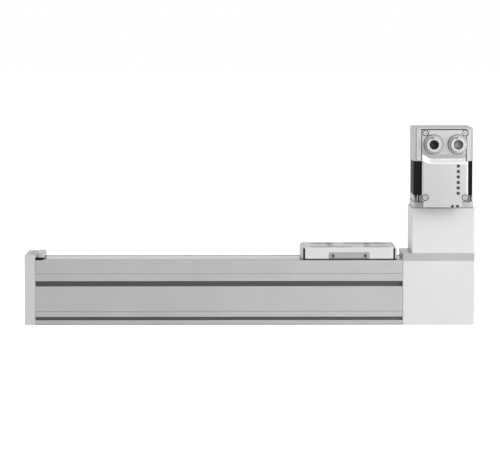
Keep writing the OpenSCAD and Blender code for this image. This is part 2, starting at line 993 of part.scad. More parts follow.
module motor_flange() {
  color("lightgray")
    difference() {
      union() {
        translate([drive_x, 0, motor_z])
          linear_extrude(flange_thickness)
            round_rect(motor_width, motor_width, flange_corner);
        translate([drive_x, 0, bell_z - 0.5])
          motor_square(motor_width - 0.6, bell_corner, bell_height + 0.5);
        translate([drive_x, 0, motor_z - pilot_height])
          cylinder(r = pilot_radius - seat_play, h = pilot_height + 1);
      }
      translate([drive_x, 0, motor_z - pilot_height - cut])
        cylinder(r = motor_shaft_radius + 2, h = flange_thickness + pilot_height + 2 * cut);
      translate([drive_x, 0, motor_front_bearing_z - 2])
        cylinder(r = motor_bearing_radius, h = bell_height + 2 + cut);
      at_motor_screws(bell_z)
        socket_hole(motor_screw_radius, flange_thickness + cut, motor_head_radius, 20);
      for (end = [-1, 1])
        for (side = [-1, 1])
          translate([drive_x + end * motor_screw_spacing / 2, side * motor_width / 2,
                     bell_z + bell_height / 2])
            cube([pocket_slot, 2 * motor_screw_inset, bell_height + 2 * cut], center = true);
      translate([drive_x, 0, bell_z + seam_rise - seam_height])
        linear_extrude(seam_height)
          difference() {
            square(2 * motor_width, center = true);
            round_rect(motor_width - 2 * seam_depth, motor_width - 2 * seam_depth,
                       flange_corner - seam_depth);
          }
    }
}

module motor_screws() {
  color("dimgray")
    at_motor_screws(bell_z)
      socket_screw(motor_screw_radius, flange_thickness + motor_screw_depth - 1,
                   motor_head_radius, motor_head_height);
}

module motor_bearings() {
  color("lightgray")
    for (z = [motor_front_bearing_z - 2, rear_z + 2])
      translate([drive_x, 0, z])
        ring(motor_bearing_radius - seat_play, motor_shaft_radius + running_play,
             motor_bearing_height);
}

encoder_z = rear_z + 12;

module motor_shaft() {
  color("lightgray")
    translate([drive_x, 0, spider_z + spider_height + 0.6])
      cylinder(r = motor_shaft_radius, h = encoder_z - spider_z - spider_height - 0.6);
}

module motor_rotor() {
  color("darkgray")
    translate([drive_x, 0, stator_z + 2])
      ring(rotor_radius, motor_shaft_radius + seat_play, stator_height - 4);
}

module motor_stator() {
  color([0.08, 0.08, 0.09])
    translate([drive_x, 0, stator_z])
      difference() {
        motor_square(motor_width - 0.8, 4.5, stator_height);
        translate([0, 0, -cut])
          cylinder(r = rotor_radius + air_gap, h = stator_height + 2 * cut);
      }
}

module motor_rear_housing() {
  wall = 2.5;
  color("silver")
    difference() {
      translate([drive_x, 0, rear_z])
        soft_block(motor_width, motor_width, rear_height, 6, 2);
      translate([drive_x, 0, rear_z + 9])
        linear_extrude(rear_height - 9 - wall)
          round_rect(motor_width - 2 * wall, motor_width - 2 * wall, 4);
      translate([drive_x, 0, rear_z + 2])
        cylinder(r = motor_bearing_radius, h = 10);
      translate([drive_x, 0, rear_z - cut])
        cylinder(r = motor_shaft_radius + 2, h = 10);
    }
}

module encoder_magnet() {
  color("dimgray")
    translate([drive_x, 0, encoder_z])
      cylinder(r = 3.5, h = 3);
}

module encoder_board() {
  board_z = encoder_z + 5.2;
  post_y = motor_width / 2 - 8.5;
  color("seagreen")
    union() {
      translate([drive_x, 0, board_z])
        linear_extrude(1.6)
          round_rect(motor_width - 6, motor_width - 6, 3);
      for (side = [-1, 1])
        for (end = [-1, 1])
          translate([drive_x + end * post_y, side * post_y, rear_z + 9])
            cylinder(r = 2, h = board_z - rear_z - 9 + 0.5);
      translate([drive_x, 0, board_z - 0.5])
        cube([5, 5, 1.4], center = true);
    }
}

// ---- Controller ----

box_half = hood_width / 2 - 1.4;

module controller_box() {
  wall = 2;
  back_y = motor_front_y;
  front_y = hood_front_y + panel_thickness;
  color([0.1, 0.1, 0.11])
    difference() {
      block([drive_x - box_half, front_y, panel_z + 0.3], [drive_x + box_half, back_y, rear_z]);
      block([drive_x - box_half + wall, front_y + wall, panel_z + 0.3 + wall],
            [drive_x + box_half - wall, back_y - wall, rear_z - wall]);
    }
}

module controller_board() {
  board_y = hood_front_y + panel_thickness + hood_depth / 4;
  large_chip = box_half / 2;
  small_chip = box_half / 3;
  chip_gap = 2;
  chip_height = 1.8;
  chip_z = panel_z + box_half / 3;
  color("seagreen")
    union() {
      block([drive_x - box_half + 2, board_y, panel_z + 2.6],
            [drive_x + box_half - 2, board_y + 1.6, rear_z - 2.3]);
      block([drive_x - chip_gap - large_chip, board_y - chip_height, chip_z],
            [drive_x - chip_gap, board_y + 0.2, chip_z + large_chip]);
      block([drive_x + chip_gap, board_y - chip_height, rear_z - chip_gap - 2 * small_chip],
            [drive_x + chip_gap + small_chip, board_y + 0.2, rear_z - chip_gap - small_chip]);
    }
}

// The hood's raised surfaces, drawn as seen from its front with the drive axis at x = 0
pad_slope = 4.4;
panel_slope = 3.6;

module hood_section_2d() {
  back = hood_front_y + panel_thickness;
  polygon([[motor_front_y, rear_z], [motor_front_y, hood_top_z], [hood_front_y, hood_top_z],
           [hood_front_y, pad_z], [hood_floor_y, pad_z - pad_slope],
           [hood_floor_y, panel_top_z + panel_slope], [hood_front_y, panel_top_z],
           [hood_front_y, panel_z], [back, panel_z], [back, rear_z]]);
}

module lower_panel_2d() {
  tongue_left = -hood_width / 2 + 1.1;
  tongue_right = hood_width / 2 - 5.4;
  difference() {
    union() {
      translate([-hood_width / 2, panel_z])
        square([hood_width, panel_top_z - panel_z]);
      translate([tongue_left, tongue_z])
        square([tongue_right - tongue_left, panel_z - tongue_z + 1]);
    }
    for (x = [6.9, 11.6])
      translate([x - 1.2, tongue_z - cut])
        square([2.4, 2.2 + cut]);
  }
}

module at_hood_screws(y) {
  for (end = [-1, 1])
    for (z = [hood_screw_low_z, hood_screw_top_z])
      translate([drive_x + end * hood_screw_x, y, z])
        face_front()
          children();
}

module at_inlets() {
  for (end = [-1, 1])
    translate([drive_x + end * inlet_spacing / 2, hood_front_y, inlet_z])
      face_front()
        children();
}

module controller_hood() {
  color("silver")
    difference() {
      union() {
        translate([drive_x, 0, 0])
          rotate([90, 0, 90])
            linear_extrude(hood_width, center = true)
              hood_section_2d();
        translate([drive_x, hood_front_y + panel_thickness, 0])
          face_front()
            linear_extrude(panel_thickness)
              lower_panel_2d();
      }
      block([drive_x - hood_width / 2 + hood_wall, hood_floor_y + hood_wall, rear_z + hood_wall],
            [drive_x + hood_width / 2 - hood_wall, motor_front_y + cut, hood_top_z - hood_wall]);
      at_inlets()
        translate([0, 0, -hood_depth / 2])
          cylinder(r = inlet_root_radius + seat_play, h = hood_depth);
      at_hood_screws(hood_screw_seat)
        socket_hole(hood_screw_radius, 3.4, hood_screw_head, 2);
      for (i = [0:light_count - 1])
        translate([light_x, hood_front_y + 1.2, light_top_z - i * light_pitch])
          face_front()
            cylinder(r = light_radius + seat_play, h = 4);
    }
}

module hood_screws() {
  color("gray")
    at_hood_screws(hood_screw_seat)
      socket_screw(hood_screw_radius, 3.2, hood_screw_head, 1.2);
}

// The metal shell of a round plug connector, pointing up from the hood's front
module inlet_shell() {
  collar_radius = 7;
  collar_height = 3;
  key_angle = 16;
  key_width = 2.6;
  key_depth = 1.5;
  difference() {
    union() {
      translate([0, 0, -inlet_root_depth])
        cylinder(r = inlet_root_radius, h = inlet_root_depth);
      cylinder(r = inlet_radius, h = collar_height);
      cylinder(r = collar_radius, h = inlet_reach);
    }
    translate([0, 0, inlet_floor])
      cylinder(r = insert_radius, h = inlet_reach - inlet_floor + cut);
    rotate(key_angle)
      translate([0, collar_radius - 0.5, inlet_reach])
        cube([key_width, 1.8, 2 * key_depth], center = true);
  }
}

module inlet_pins(pin_count) {
  pin_circle = 2.6;
  pin_radius = 0.5;
  union() {
    translate([0, 0, inlet_floor])
      cylinder(r = insert_radius, h = insert_height);
    for (i = [0:pin_count - 1])
      rotate(45 + i * 360 / pin_count)
        translate([pin_circle, 0, inlet_floor + cut])
          cylinder(r = pin_radius, h = inlet_reach - pin_recess - inlet_floor - cut);
  }
}

module place_inlet(end) {
  translate([drive_x + end * inlet_spacing / 2, hood_front_y, inlet_z])
    face_front()
      children();
}

module power_inlet() {
  color("silver")
    place_inlet(-1)
      inlet_shell();
}

module power_pins() {
  color("black")
    place_inlet(-1)
      inlet_pins(4);
}

module logic_inlet() {
  color("silver")
    place_inlet(1)
      inlet_shell();
}

module logic_pins() {
  color("gainsboro")
    place_inlet(1)
      inlet_pins(8);
}

module status_lights() {
  color([0.15, 0.15, 0.16])
    for (i = [0:light_count - 1])
      translate([light_x, hood_front_y + 1.2, light_top_z - i * light_pitch])
        face_front()
          cylinder(r = light_radius, h = 1.3);
}

// ---- Carriage ----

guide_play = 0.25;

module runner_outline() {
  inner_half = rail_width / 2 + guide_play;
  inner_top = rail_z + rail_height + guide_play;
  difference() {
    translate([-runner_width / 2, runner_z])
      square([runner_width, runner_height]);
    translate([-inner_half, runner_z - cut])
      square([2 * inner_half, inner_top - runner_z + cut]);
  }
}

module runner_block() {
  color("lightgray")
    difference() {
      translate([slide_x, 0, 0])
        rotate([90, 0, 90])
          linear_extrude(runner_length, center = true)
            runner_outline();
      at_runner_screws(runner_top_z)
        translate([0, 0, -6])
          cylinder(r = runner_screw_radius + screw_play, h = 7);
    }
}

module runner_caps() {
  cap = 5;
  inset = 0.5;
  color([0.12, 0.3, 0.22])
    for (end = [-1, 1])
      translate([slide_x + end * (runner_length + cap) / 2, 0, 0])
        rotate([90, 0, 90])
          linear_extrude(cap, center = true)
            difference() {
              translate([-runner_width / 2 + inset, runner_z + inset])
                square([runner_width - 2 * inset, runner_height - inset]);
              translate([-rail_width / 2 - guide_play, runner_z - cut])
                square([rail_width + 2 * guide_play,
                        rail_z + rail_height + guide_play - runner_z + cut]);
            }
}

runner_screw_radius = 1.5;
runner_head_radius = 2.6;
runner_head_height = 1.6;
runner_screw_x = 14;
runner_screw_y = -clamp_inner_y - runner_head_radius - screw_gap;

module at_runner_screws(z) {
  for (end = [-1, 1])
    for (side = [-1, 1])
      translate([slide_x + end * runner_screw_x, side * runner_screw_y, z])
        children();
}

// Half of the saddle's section: base, leg and the flange under the slide
module saddle_half_2d() {
  square([leg_out_y, saddle_base]);
  translate([leg_in_y, 0])
    square([leg_thickness, slide_z + saddle_flange_height - runner_top_z]);
  translate([saddle_flange_in_y, slide_z - runner_top_z])
    square([leg_out_y - saddle_flange_in_y, saddle_flange_height]);
}

slide_screw_x = 18;
slide_screw_y = 9;
slide_screw_radius = 2;
slide_head_radius = 3.5;
slide_head_height = 4;

module at_slide_screws(z) {
  for (end = [-1, 1])
    for (side = [-1, 1])
      translate([slide_x + end * slide_screw_x, side * slide_screw_y, z])
        children();
}

magnet_radius = 3;
magnet_thickness = 1.5;

module saddle() {
  color("darkgray")
    difference() {
      translate([slide_x, 0, runner_top_z])
        rotate([90, 0, 90])
          linear_extrude(saddle_length, center = true) {
            saddle_half_2d();
            mirror([1, 0])
              saddle_half_2d();
          }
      at_runner_screws(saddle_top_z - cut)
        translate([0, 0, -saddle_base])
          cylinder(r = runner_screw_radius + screw_play, h = saddle_base + 2 * cut);
      at_slide_screws(slide_z - cut)
        cylinder(r = slide_screw_radius + screw_play, h = saddle_flange_height + 2 * cut);
      translate([slide_x, -leg_out_y + magnet_thickness, sensor_slot_z])
        face_front()
          cylinder(r = magnet_radius + seat_play, h = 3);
      at_clamp_screws(-leg_in_y)
        cylinder(r = belt_clamp_screw_radius + screw_play, h = 3 * leg_thickness, center = true);
    }
}

module runner_screws() {
  color("dimgray")
    at_runner_screws(saddle_top_z)
      socket_screw(runner_screw_radius, saddle_base + 5, runner_head_radius,
                   runner_head_height);
}

module sensor_magnet() {
  color("dimgray")
    translate([slide_x, -leg_out_y + magnet_thickness, sensor_slot_z])
      face_front()
        cylinder(r = magnet_radius, h = magnet_thickness);
}

slide_front_y = -slide_width / 2;
tag_thickness = 1.2;
tag_z = slide_z + 0.2;
tag_screw_spacing = tag_width - 7.4;

// The slide with its wipers and covers as one outline, on its base
module slide_form() {
  overall = 2 * slide_overall_half;
  edge = 0.9;
  intersection() {
    linear_extrude(slide_thickness)
      round_rect(overall, slide_width, slide_corner_radius);
    rotate([90, 0, 0])
      linear_extrude(slide_width + 2 * cut, center = true)
        arch_rect(overall, slide_thickness, slide_end_radius);
    rotate([90, 0, 90])
      linear_extrude(overall + 2 * cut, center = true)
        arch_rect(slide_width, slide_thickness, edge);
  }
}

// A part of that outline, between two distances from the slide's middle and from one height up
module slide_end_slab(start, stop, bottom) {
  intersection() {
    slide_form();
    block([start, -slide_width, bottom], [stop, slide_width, slide_thickness + cut]);
  }
}

// Long shallow recesses in the slide's top: first end, last end and distance to the side
slide_recesses = [[-38, 4, -25.7], [13.5, 38, -25.7], [-37, -13, 15.25], [-4.5, 38, 15.25]];
recess_depth = 0.4;
recess_width = 4.4;

module slide() {
  pocket = saddle_length + 0.4;
  dowel_radius = 3.5;
  color("silver")
    difference() {
      translate([slide_x, 0, slide_z])
        slide_end_slab(-slide_half, slide_half, -cut);
      for (r = slide_recesses)
        translate([slide_x + (r[0] + r[1]) / 2, r[2], slide_top_z - recess_depth])
          linear_extrude(recess_depth + cut)
            round_rect(r[1] - r[0], recess_width, recess_width / 2 - 0.05);
      block([slide_x - pocket / 2, -leg_out_y - 0.2, slide_z - cut],
            [slide_x + pocket / 2, leg_out_y + 0.2, slide_z + saddle_flange_height]);
      at_slide_screws(slide_top_z - slide_head_height)
        socket_hole(slide_screw_radius, slide_thickness, slide_head_radius,
                    slide_head_height);
      for (end = [-1, 1])
        for (side = [-1, 1])
          translate([slide_x + end * slide_holes_x / 2, side * slide_holes_y / 2,
                     slide_z - cut])
            cylinder(r = 2.1, h = slide_thickness + 2 * cut);
      for (end = [-1, 1])
        translate([slide_x + end * slide_holes_x / 2, 0, slide_top_z - 2])
          cylinder(r = dowel_radius, h = 2 + cut);
      translate([slide_x, slide_front_y + tag_thickness, tag_z])
        face_front()
          linear_extrude(tag_thickness + cut)
            arch_rect(tag_width + 0.4, tag_height + 0.2, 1.2);
      block([slide_x - tag_width / 2 - 0.2, slide_front_y - cut, slide_z - cut],
            [slide_x + tag_width / 2 + 0.2, slide_front_y + tag_thickness, tag_z + 0.1]);
      at_tag_screws()
        translate([0, 0, -4])
          cylinder(r = 1.1, h = 6);
    }
}

module at_tag_screws() {
  for (end = [-1, 1])
    translate([slide_x + end * tag_screw_spacing / 2, slide_front_y + tag_thickness,
               tag_z + tag_height * 0.46])
      face_front()
        children();
}

module tag_plate() {
  color("darkgray")
    difference() {
      translate([slide_x, slide_front_y + tag_thickness, tag_z])
        face_front()
          linear_extrude(tag_thickness - 0.3)
            arch_rect(tag_width, tag_height, 1);
      at_tag_screws()
        translate([0, 0, -1])
          cylinder(r = 1.1, h = 4);
    }
}

module tag_screws() {
  color([0.2, 0.2, 0.2])
    at_tag_screws()
      translate([0, 0, tag_thickness - 0.3])
        socket_screw(1, 4.4, 1.5, 0.7);
}

module slide_screws() {
  color("dimgray")
    at_slide_screws(slide_top_z - slide_head_height)
      socket_screw(slide_screw_radius, slide_thickness - slide_head_height, slide_head_radius,
                   slide_head_height);
}

cover_lip = 1.2;
wiper_reach = 0.9;

module slide_wipers() {
  inset = 2;
  color("black")
    for (end = [0, 1])
      translate([slide_x, 0, slide_z])
        mirror([end, 0, 0])
          union() {
            intersection() {
              slide_end_slab(slide_half, slide_half + wiper_thickness, -cut);
              block([slide_half, -slide_width / 2 + 0.3, -cut],
                    [slide_half + wiper_thickness, slide_width / 2 - 0.3,
                     slide_thickness - cover_lip]);
            }
            block([slide_half, -slide_width / 2 + inset, -wiper_reach],
                  [slide_half + wiper_thickness, slide_width / 2 - inset, 1]);
          }
}

module slide_end_covers() {
  outer = slide_overall_half + cut;
  color("silver")
    for (end = [0, 1])
      translate([slide_x, 0, slide_z])
        mirror([end, 0, 0])
          union() {
            slide_end_slab(slide_half + wiper_thickness, outer, -cut);
            slide_end_slab(slide_half, outer, slide_thickness - cover_lip);
          }
}

// The clamp hangs over the front strand and holds it between a plain and a toothed jaw
clamp_half = 15;
clamp_play = 0.3;
clamp_bridge = 4.5;
clamp_top_z = belt_z + belt_width + clamp_play + clamp_bridge;
belt_clamp_screw_radius = 1.5;
belt_clamp_screw_x = 11;

module at_clamp_screws(y) {
  for (end = [-1, 1])
    translate([slide_x + end * belt_clamp_screw_x, y, clamp_top_z - clamp_bridge / 2])
      rotate([-90, 0, 0])
        children();
}

// Distance along the loop of the tooth nearest to the slide's middle, on the front strand
function front_strand_s(x) = half_turn * 2 + centre_distance + x - idler_x;

module clamp_teeth_space() {
  first = ceil((front_strand_s(slide_x - clamp_half) - 2) / belt_pitch);
  last = floor((front_strand_s(slide_x + clamp_half) + 2) / belt_pitch);
  root_y = -(pitch_radius - belt_root) + tooth_play;
  depth = belt_tooth_height + tooth_play;
  for (k = [first:last]) {
    x = idler_x + k * belt_pitch - 2 * half_turn - centre_distance;
    translate([x, root_y])
      polygon([[-tooth_base / 2 - tooth_play, -cut], [tooth_base / 2 + tooth_play, -cut],
               [tooth_base / 2 + tooth_play, 0], [tooth_tip / 2 + tooth_play, depth],
               [-tooth_tip / 2 - tooth_play, depth], [-tooth_base / 2 - tooth_play, 0]]);
  }
}

module belt_clamp() {
  back_y = -(pitch_radius + belt_back) - clamp_play;
  root_y = -(pitch_radius - belt_root) + tooth_play;
  bottom_z = saddle_top_z + 1;
  color("darkgray")
    difference() {
      block([slide_x - clamp_half, -leg_in_y, bottom_z],
            [slide_x + clamp_half, clamp_inner_y, clamp_top_z]);
      block([slide_x - clamp_half - cut, back_y, bottom_z - cut],
            [slide_x + clamp_half + cut, root_y, clamp_top_z - clamp_bridge]);
      translate([0, 0, bottom_z - cut])
        linear_extrude(clamp_top_z - clamp_bridge - bottom_z + cut)
          clamp_teeth_space();
      at_clamp_screws(-leg_in_y)
        cylinder(r = belt_clamp_screw_radius + screw_play, h = channel_width, center = true);
    }
}

module belt_clamp_screws() {
  color("dimgray")
    at_clamp_screws(clamp_inner_y)
      socket_screw(belt_clamp_screw_radius, clamp_inner_y + leg_in_y + leg_thickness - 0.2,
                   2.6, 2);
}

profile();
cover_strip();
end_cap();
end_cap_screws();
strip_clamp();
strip_clamp_screws();
end_buffer();
guide_rail();
rail_screws();
idler_yoke();
idler_axle();
tension_screws();
idler_pulley();
idler_bearings();
toothed_belt();
drive_housing();
housing_bolts();
column_bolts();
shaft_bearings();
drive_shaft();
drive_pulley();
adapter_plate();
adapter_screws();
coupling_housing();
coupling_lower_hub();
coupling_spider();
coupling_upper_hub();
coupling_screws();
motor_flange();
motor_screws();
motor_bearings();
motor_shaft();
motor_rotor();
motor_stator();
motor_rear_housing();
encoder_magnet();
encoder_board();
controller_box();
controller_board();
controller_hood();
hood_screws();
power_inlet();
power_pins();
logic_inlet();
logic_pins();
status_lights();
runner_block();
runner_caps();
saddle();
runner_screws();
slide();
slide_screws();
slide_wipers();
slide_end_covers();
tag_plate();
tag_screws();
belt_clamp();
belt_clamp_screws();
sensor_magnet();
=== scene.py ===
import json
import math

import bmesh
import bpy
from mathutils import Euler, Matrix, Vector


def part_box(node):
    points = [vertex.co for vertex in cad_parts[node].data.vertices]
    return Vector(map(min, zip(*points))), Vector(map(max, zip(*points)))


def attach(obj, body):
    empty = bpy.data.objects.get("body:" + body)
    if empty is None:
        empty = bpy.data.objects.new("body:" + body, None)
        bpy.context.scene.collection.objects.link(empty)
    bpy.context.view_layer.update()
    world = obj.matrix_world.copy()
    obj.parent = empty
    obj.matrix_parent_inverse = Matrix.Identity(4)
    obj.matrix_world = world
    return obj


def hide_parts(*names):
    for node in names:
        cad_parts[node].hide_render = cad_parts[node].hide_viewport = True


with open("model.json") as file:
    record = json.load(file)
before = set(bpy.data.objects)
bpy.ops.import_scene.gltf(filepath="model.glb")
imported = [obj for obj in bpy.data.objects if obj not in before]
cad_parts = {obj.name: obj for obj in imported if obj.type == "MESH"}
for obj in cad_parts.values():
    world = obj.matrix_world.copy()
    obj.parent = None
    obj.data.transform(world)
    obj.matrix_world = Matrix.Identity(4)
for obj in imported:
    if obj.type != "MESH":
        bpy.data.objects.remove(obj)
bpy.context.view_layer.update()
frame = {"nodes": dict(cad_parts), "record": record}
MM = 0.001


# ---- Shader nodes ----

def set_inputs(node, **sockets):
    """Sets a node's sockets by name, where an underscore stands for a space."""
    for name, value in sockets.items():
        node.inputs[name.replace("_", " ")].default_value = value
    return node


def math_node(tree, operation, *values):
    """The result of a sum, product or test of sockets and plain numbers."""
    node = tree.nodes.new("ShaderNodeMath")
    node.operation = operation
    for socket, value in zip(node.inputs, values):
        if isinstance(value, bpy.types.NodeSocket):
            tree.links.new(value, socket)
        else:
            socket.default_value = value
    return node.outputs[0]


def remap(tree, value, **limits):
    """A value carried from one range to another."""
    node = set_inputs(tree.nodes.new("ShaderNodeMapRange"), **limits)
    tree.links.new(value, node.inputs["Value"])
    return node.outputs["Result"]


def noise(tree, place, **settings):
    node = set_inputs(tree.nodes.new("ShaderNodeTexNoise"), **settings)
    tree.links.new(place, node.inputs["Vector"])
    return node.outputs["Fac"]


def mix_in(tree, factor, base, rgba):
    """One colour laid over a base where the factor says so."""
    node = tree.nodes.new("ShaderNodeMix")
    node.data_type = "RGBA"
    node.inputs["B"].default_value = rgba
    tree.links.new(factor, node.inputs["Factor"])
    tree.links.new(base, node.inputs["A"])
    return node.outputs["Result"]


def grey(value, blue=0.0):
    """A grey with a little more, or less, blue in it."""
    return (value, value, value + blue)


def shade(rgb, factor):
    return tuple(min(1.0, c * factor) for c in rgb) + (1.0,)


# ---- Materials ----

NOISE_RANGE = (0.7, 1.3)
SLOW_NOISE_SCALE = 22.0
BUMP_DISTANCE = 0.05
# how far the rounded normal agrees with the true one, from no edge colour to full edge colour:
# wear where that colour is lighter, painted shade where it is darker
EDGE_RANGE = (0.98, 0.80)
# the share of open sky over a point, from full painted shade to none
CREVICE_RANGE = (0.25, 0.85)
# how dark the painted shade in crevices gets, as a share of the colour
CREVICE_SHADE_TONE = 0.15
LEAST_ROUGHNESS = 0.04


def edge_wear_and_shade(tree, rounded, wear_and_edge_shade):
    """How strongly the edge colour shows: most where the rounded normal leaves the true one. It
    is wear where edge_tone is above 1, and painted shade where it is below 1.
    """
    geometry = tree.nodes.new("ShaderNodeNewGeometry")
    dot = tree.nodes.new("ShaderNodeVectorMath")
    dot.operation = "DOT_PRODUCT"
    tree.links.new(rounded, dot.inputs[0])
    tree.links.new(geometry.outputs["Normal"], dot.inputs[1])
    return remap(tree, dot.outputs["Value"], From_Min=EDGE_RANGE[0], From_Max=EDGE_RANGE[1],
                 To_Max=wear_and_edge_shade)


def crevice_painted_shade(tree, amount, reach):
    """How much painted shade a point gets: most where pieces meet and round the screw heads."""
    hollow = set_inputs(tree.nodes.new("ShaderNodeAmbientOcclusion"), Distance=reach * MM)
    hollow.samples = 8
    return remap(tree, hollow.outputs["AO"], From_Min=CREVICE_RANGE[0],
                 From_Max=CREVICE_RANGE[1], To_Min=amount, To_Max=0.0)


def darken_pockets(tree, place, colour, side, deep, low, high, dark):
    """Darkens what lies behind a side face and between two heights, as in an unlit slot.

    The side face and the deepest point are given by their distance from the middle plane.
    """
    parts = tree.nodes.new("ShaderNodeSeparateXYZ")
    tree.links.new(place, parts.inputs[0])
    out = math_node(tree, "ABSOLUTE", parts.outputs["Y"])
    mask = math_node(tree, "LESS_THAN", out, side * MM)
    for operation, value, limit in (("GREATER_THAN", out, deep),
                                    ("GREATER_THAN", parts.outputs["Z"], low),
                                    ("LESS_THAN", parts.outputs["Z"], high)):
        mask = math_node(tree, "MULTIPLY", mask, math_node(tree, operation, value, limit * MM))
    return mix_in(tree, mask, colour, shade(grey(dark), 1))


FINISH = {}


def surface(name, rgb, rough, metallic=0.0, grain=600.0, stretch=(1, 1, 1), tone=0.06,
            bump=0.05, bevel=0.35, wear_and_edge_shade=0.10, edge_tone=1.35, rough_swing=0.08, specular=0.5,
            coat=0.0, crevice=0.55, crevice_reach=1.6, pockets=None):
    """Adds a procedural finish: fine grain, slow tone changes, edges that are lighter from wear
    where edge_tone is above 1 and darker with painted shade where it is below 1, painted shade in
    crevices, and painted shade in pockets where they are given.

    Sizes are in millimetres, and grain is the frequency of the noise per metre.
    """
    material = bpy.data.materials.new(name)
    material.use_nodes = True
    tree = material.node_tree
    link = tree.links.new
    paint = set_inputs(tree.nodes["Principled BSDF"], Metallic=metallic,
                       Specular_IOR_Level=specular, Coat_Weight=coat, Coat_Roughness=0.2)

    place = tree.nodes.new("ShaderNodeTexCoord").outputs["Object"]
    mapping = set_inputs(tree.nodes.new("ShaderNodeMapping"), Scale=stretch)
    link(place, mapping.inputs["Vector"])
    fine = noise(tree, mapping.outputs["Vector"], Scale=grain, Detail=4.0, Roughness=0.6)
    slow = noise(tree, place, Scale=SLOW_NOISE_SCALE, Detail=2.0)
    ramp = tree.nodes.new("ShaderNodeValToRGB")
    ramp.color_ramp.elements[0].color = shade(rgb, 1 - tone)
    ramp.color_ramp.elements[1].color = shade(rgb, 1 + tone)
    link(remap(tree, math_node(tree, "ADD", fine, slow), From_Min=NOISE_RANGE[0],
               From_Max=NOISE_RANGE[1]), ramp.inputs["Fac"])

    rounded = set_inputs(tree.nodes.new("ShaderNodeBevel"), Radius=bevel * MM)
    rounded.samples = 4
    normal = rounded.outputs["Normal"]
    # edge colour: lighter from wear where edge_tone is above 1, darker as painted shade where it
    # is below 1
    worn_and_shaded = mix_in(tree, edge_wear_and_shade(tree, normal, wear_and_edge_shade), ramp.outputs["Color"],
                  shade(rgb, edge_tone))
    # painted shade where little open sky reaches, in crevices and round screw heads
    colour = mix_in(tree, crevice_painted_shade(tree, crevice, crevice_reach), worn_and_shaded,
                    shade(rgb, CREVICE_SHADE_TONE))
    if pockets:
        colour = darken_pockets(tree, place, colour, **pockets)
    link(colour, paint.inputs["Base Color"])

    link(remap(tree, fine, To_Min=max(LEAST_ROUGHNESS, rough - rough_swing),
               To_Max=min(1.0, rough + rough_swing)), paint.inputs["Roughness"])
    relief = set_inputs(tree.nodes.new("ShaderNodeBump"), Strength=bump,
                        Distance=BUMP_DISTANCE * MM)
    link(fine, relief.inputs["Height"])
    link(normal, relief.inputs["Normal"])
    link(relief.outputs["Normal"], paint.inputs["Normal"])
    FINISH[name] = material


# The grain's scale along X, Y and Z: drawn out along the axis, or finer along the height, as on
# stacked sheets and on what was turned upright.
ALONG = (0.015, 1, 1)
STACKED = (1, 1, 8)
TURNED = (1, 1, 6)

# housing and drive head
# pockets paints shade inside the profile's slots
surface("anodised_profile", grey(0.535, 0.002), 0.42, 0.35, 900, ALONG, tone=0.05, bump=0.12,
        bevel=0.2, wear_and_edge_shade=0.0, crevice=0.1,
        pockets={"side": 29.6, "deep": 22.0, "low": 3.0, "high": 45.0, "dark": 0.16})
surface("strip_steel", grey(0.52), 0.30, 0.85, 1400, ALONG, bump=0.12, wear_and_edge_shade=0.0)
surface("cap_paint", grey(0.67), 0.5, 0.0, 1500, tone=0.03, bump=0.10, bevel=0.6, crevice=0.25)
surface("plate_aluminium", grey(0.47), 0.32, 0.0, 1200, ALONG, specular=0.8, crevice=0.3)
# edge_tone below 1 paints shade along the edges
surface("head_paint", grey(0.735), 0.48, 0.0, 1600, tone=0.02, bump=0.10, bevel=0.8, wear_and_edge_shade=0.7,
        edge_tone=0.6)

# carriage
surface("slide_aluminium", grey(0.71, 0.005), 0.55, 0.1, 2200, tone=0.03, bump=0.10)
surface("bare_aluminium", grey(0.62), 0.32, 0.9, 1200, ALONG)
surface("rail_steel", grey(0.52), 0.2, 0.95, 1500, ALONG, bevel=0.2)
surface("runner_plastic", (0.03, 0.13, 0.07), 0.5, 0.0, 1500)
surface("cover_plastic", grey(0.60), 0.45, 0.0, 2000, tone=0.03, bump=0.12, bevel=0.5)
# the wide dark edge paints the shadow of the pocket round the tag
surface("tag_steel", grey(0.45), 0.36, 0.6, 1600, ALONG, bevel=1.1, wear_and_edge_shade=1.0, edge_tone=0.2)

# belt drive and small steel
surface("pulley_aluminium", grey(0.60, 0.01), 0.30, 0.9, 900, TURNED, bevel=0.1)
surface("belt_rubber", grey(0.03, 0.002), 0.6, 0.0, 1500, TURNED, tone=0.2, bump=0.25, bevel=0.1)
surface("spider_plastic", (0.45, 0.05, 0.04), 0.35, 0.0, 900)
surface("black_rubber", grey(0.018), 0.8, 0.0, 1800, tone=0.2, bump=0.2, specular=0.0)
surface("zinc_steel", grey(0.50, -0.01), 0.34, 0.85, 1500, bevel=0.15)
surface("dark_steel", grey(0.10), 0.42, 0.5, 1500, bevel=0.15)
surface("bearing_steel", grey(0.60, 0.01), 0.15, 0.95, 800, (1, 1, 4), bevel=0.2)

# motor and controller
surface("rotor_steel", grey(0.3, 0.01), 0.5, 0.8, 500, STACKED)
surface("magnet_grey", grey(0.26, 0.01), 0.3, 0.9, 1200, bevel=0.15)
# darker edges and the wide crevice reach paint shade, such as in the gap beside the hood
surface("motor_silver", grey(0.54), 0.50, 0.25, 1700, tone=0.04, bump=0.12, bevel=0.5, wear_and_edge_shade=0.6,
        edge_tone=0.5, crevice=0.8, crevice_reach=6.0)
surface("motor_black", grey(0.005), 0.55, 0.0, 900, STACKED, tone=0.2, bump=0.15, wear_and_edge_shade=0.02,
        specular=0.12)
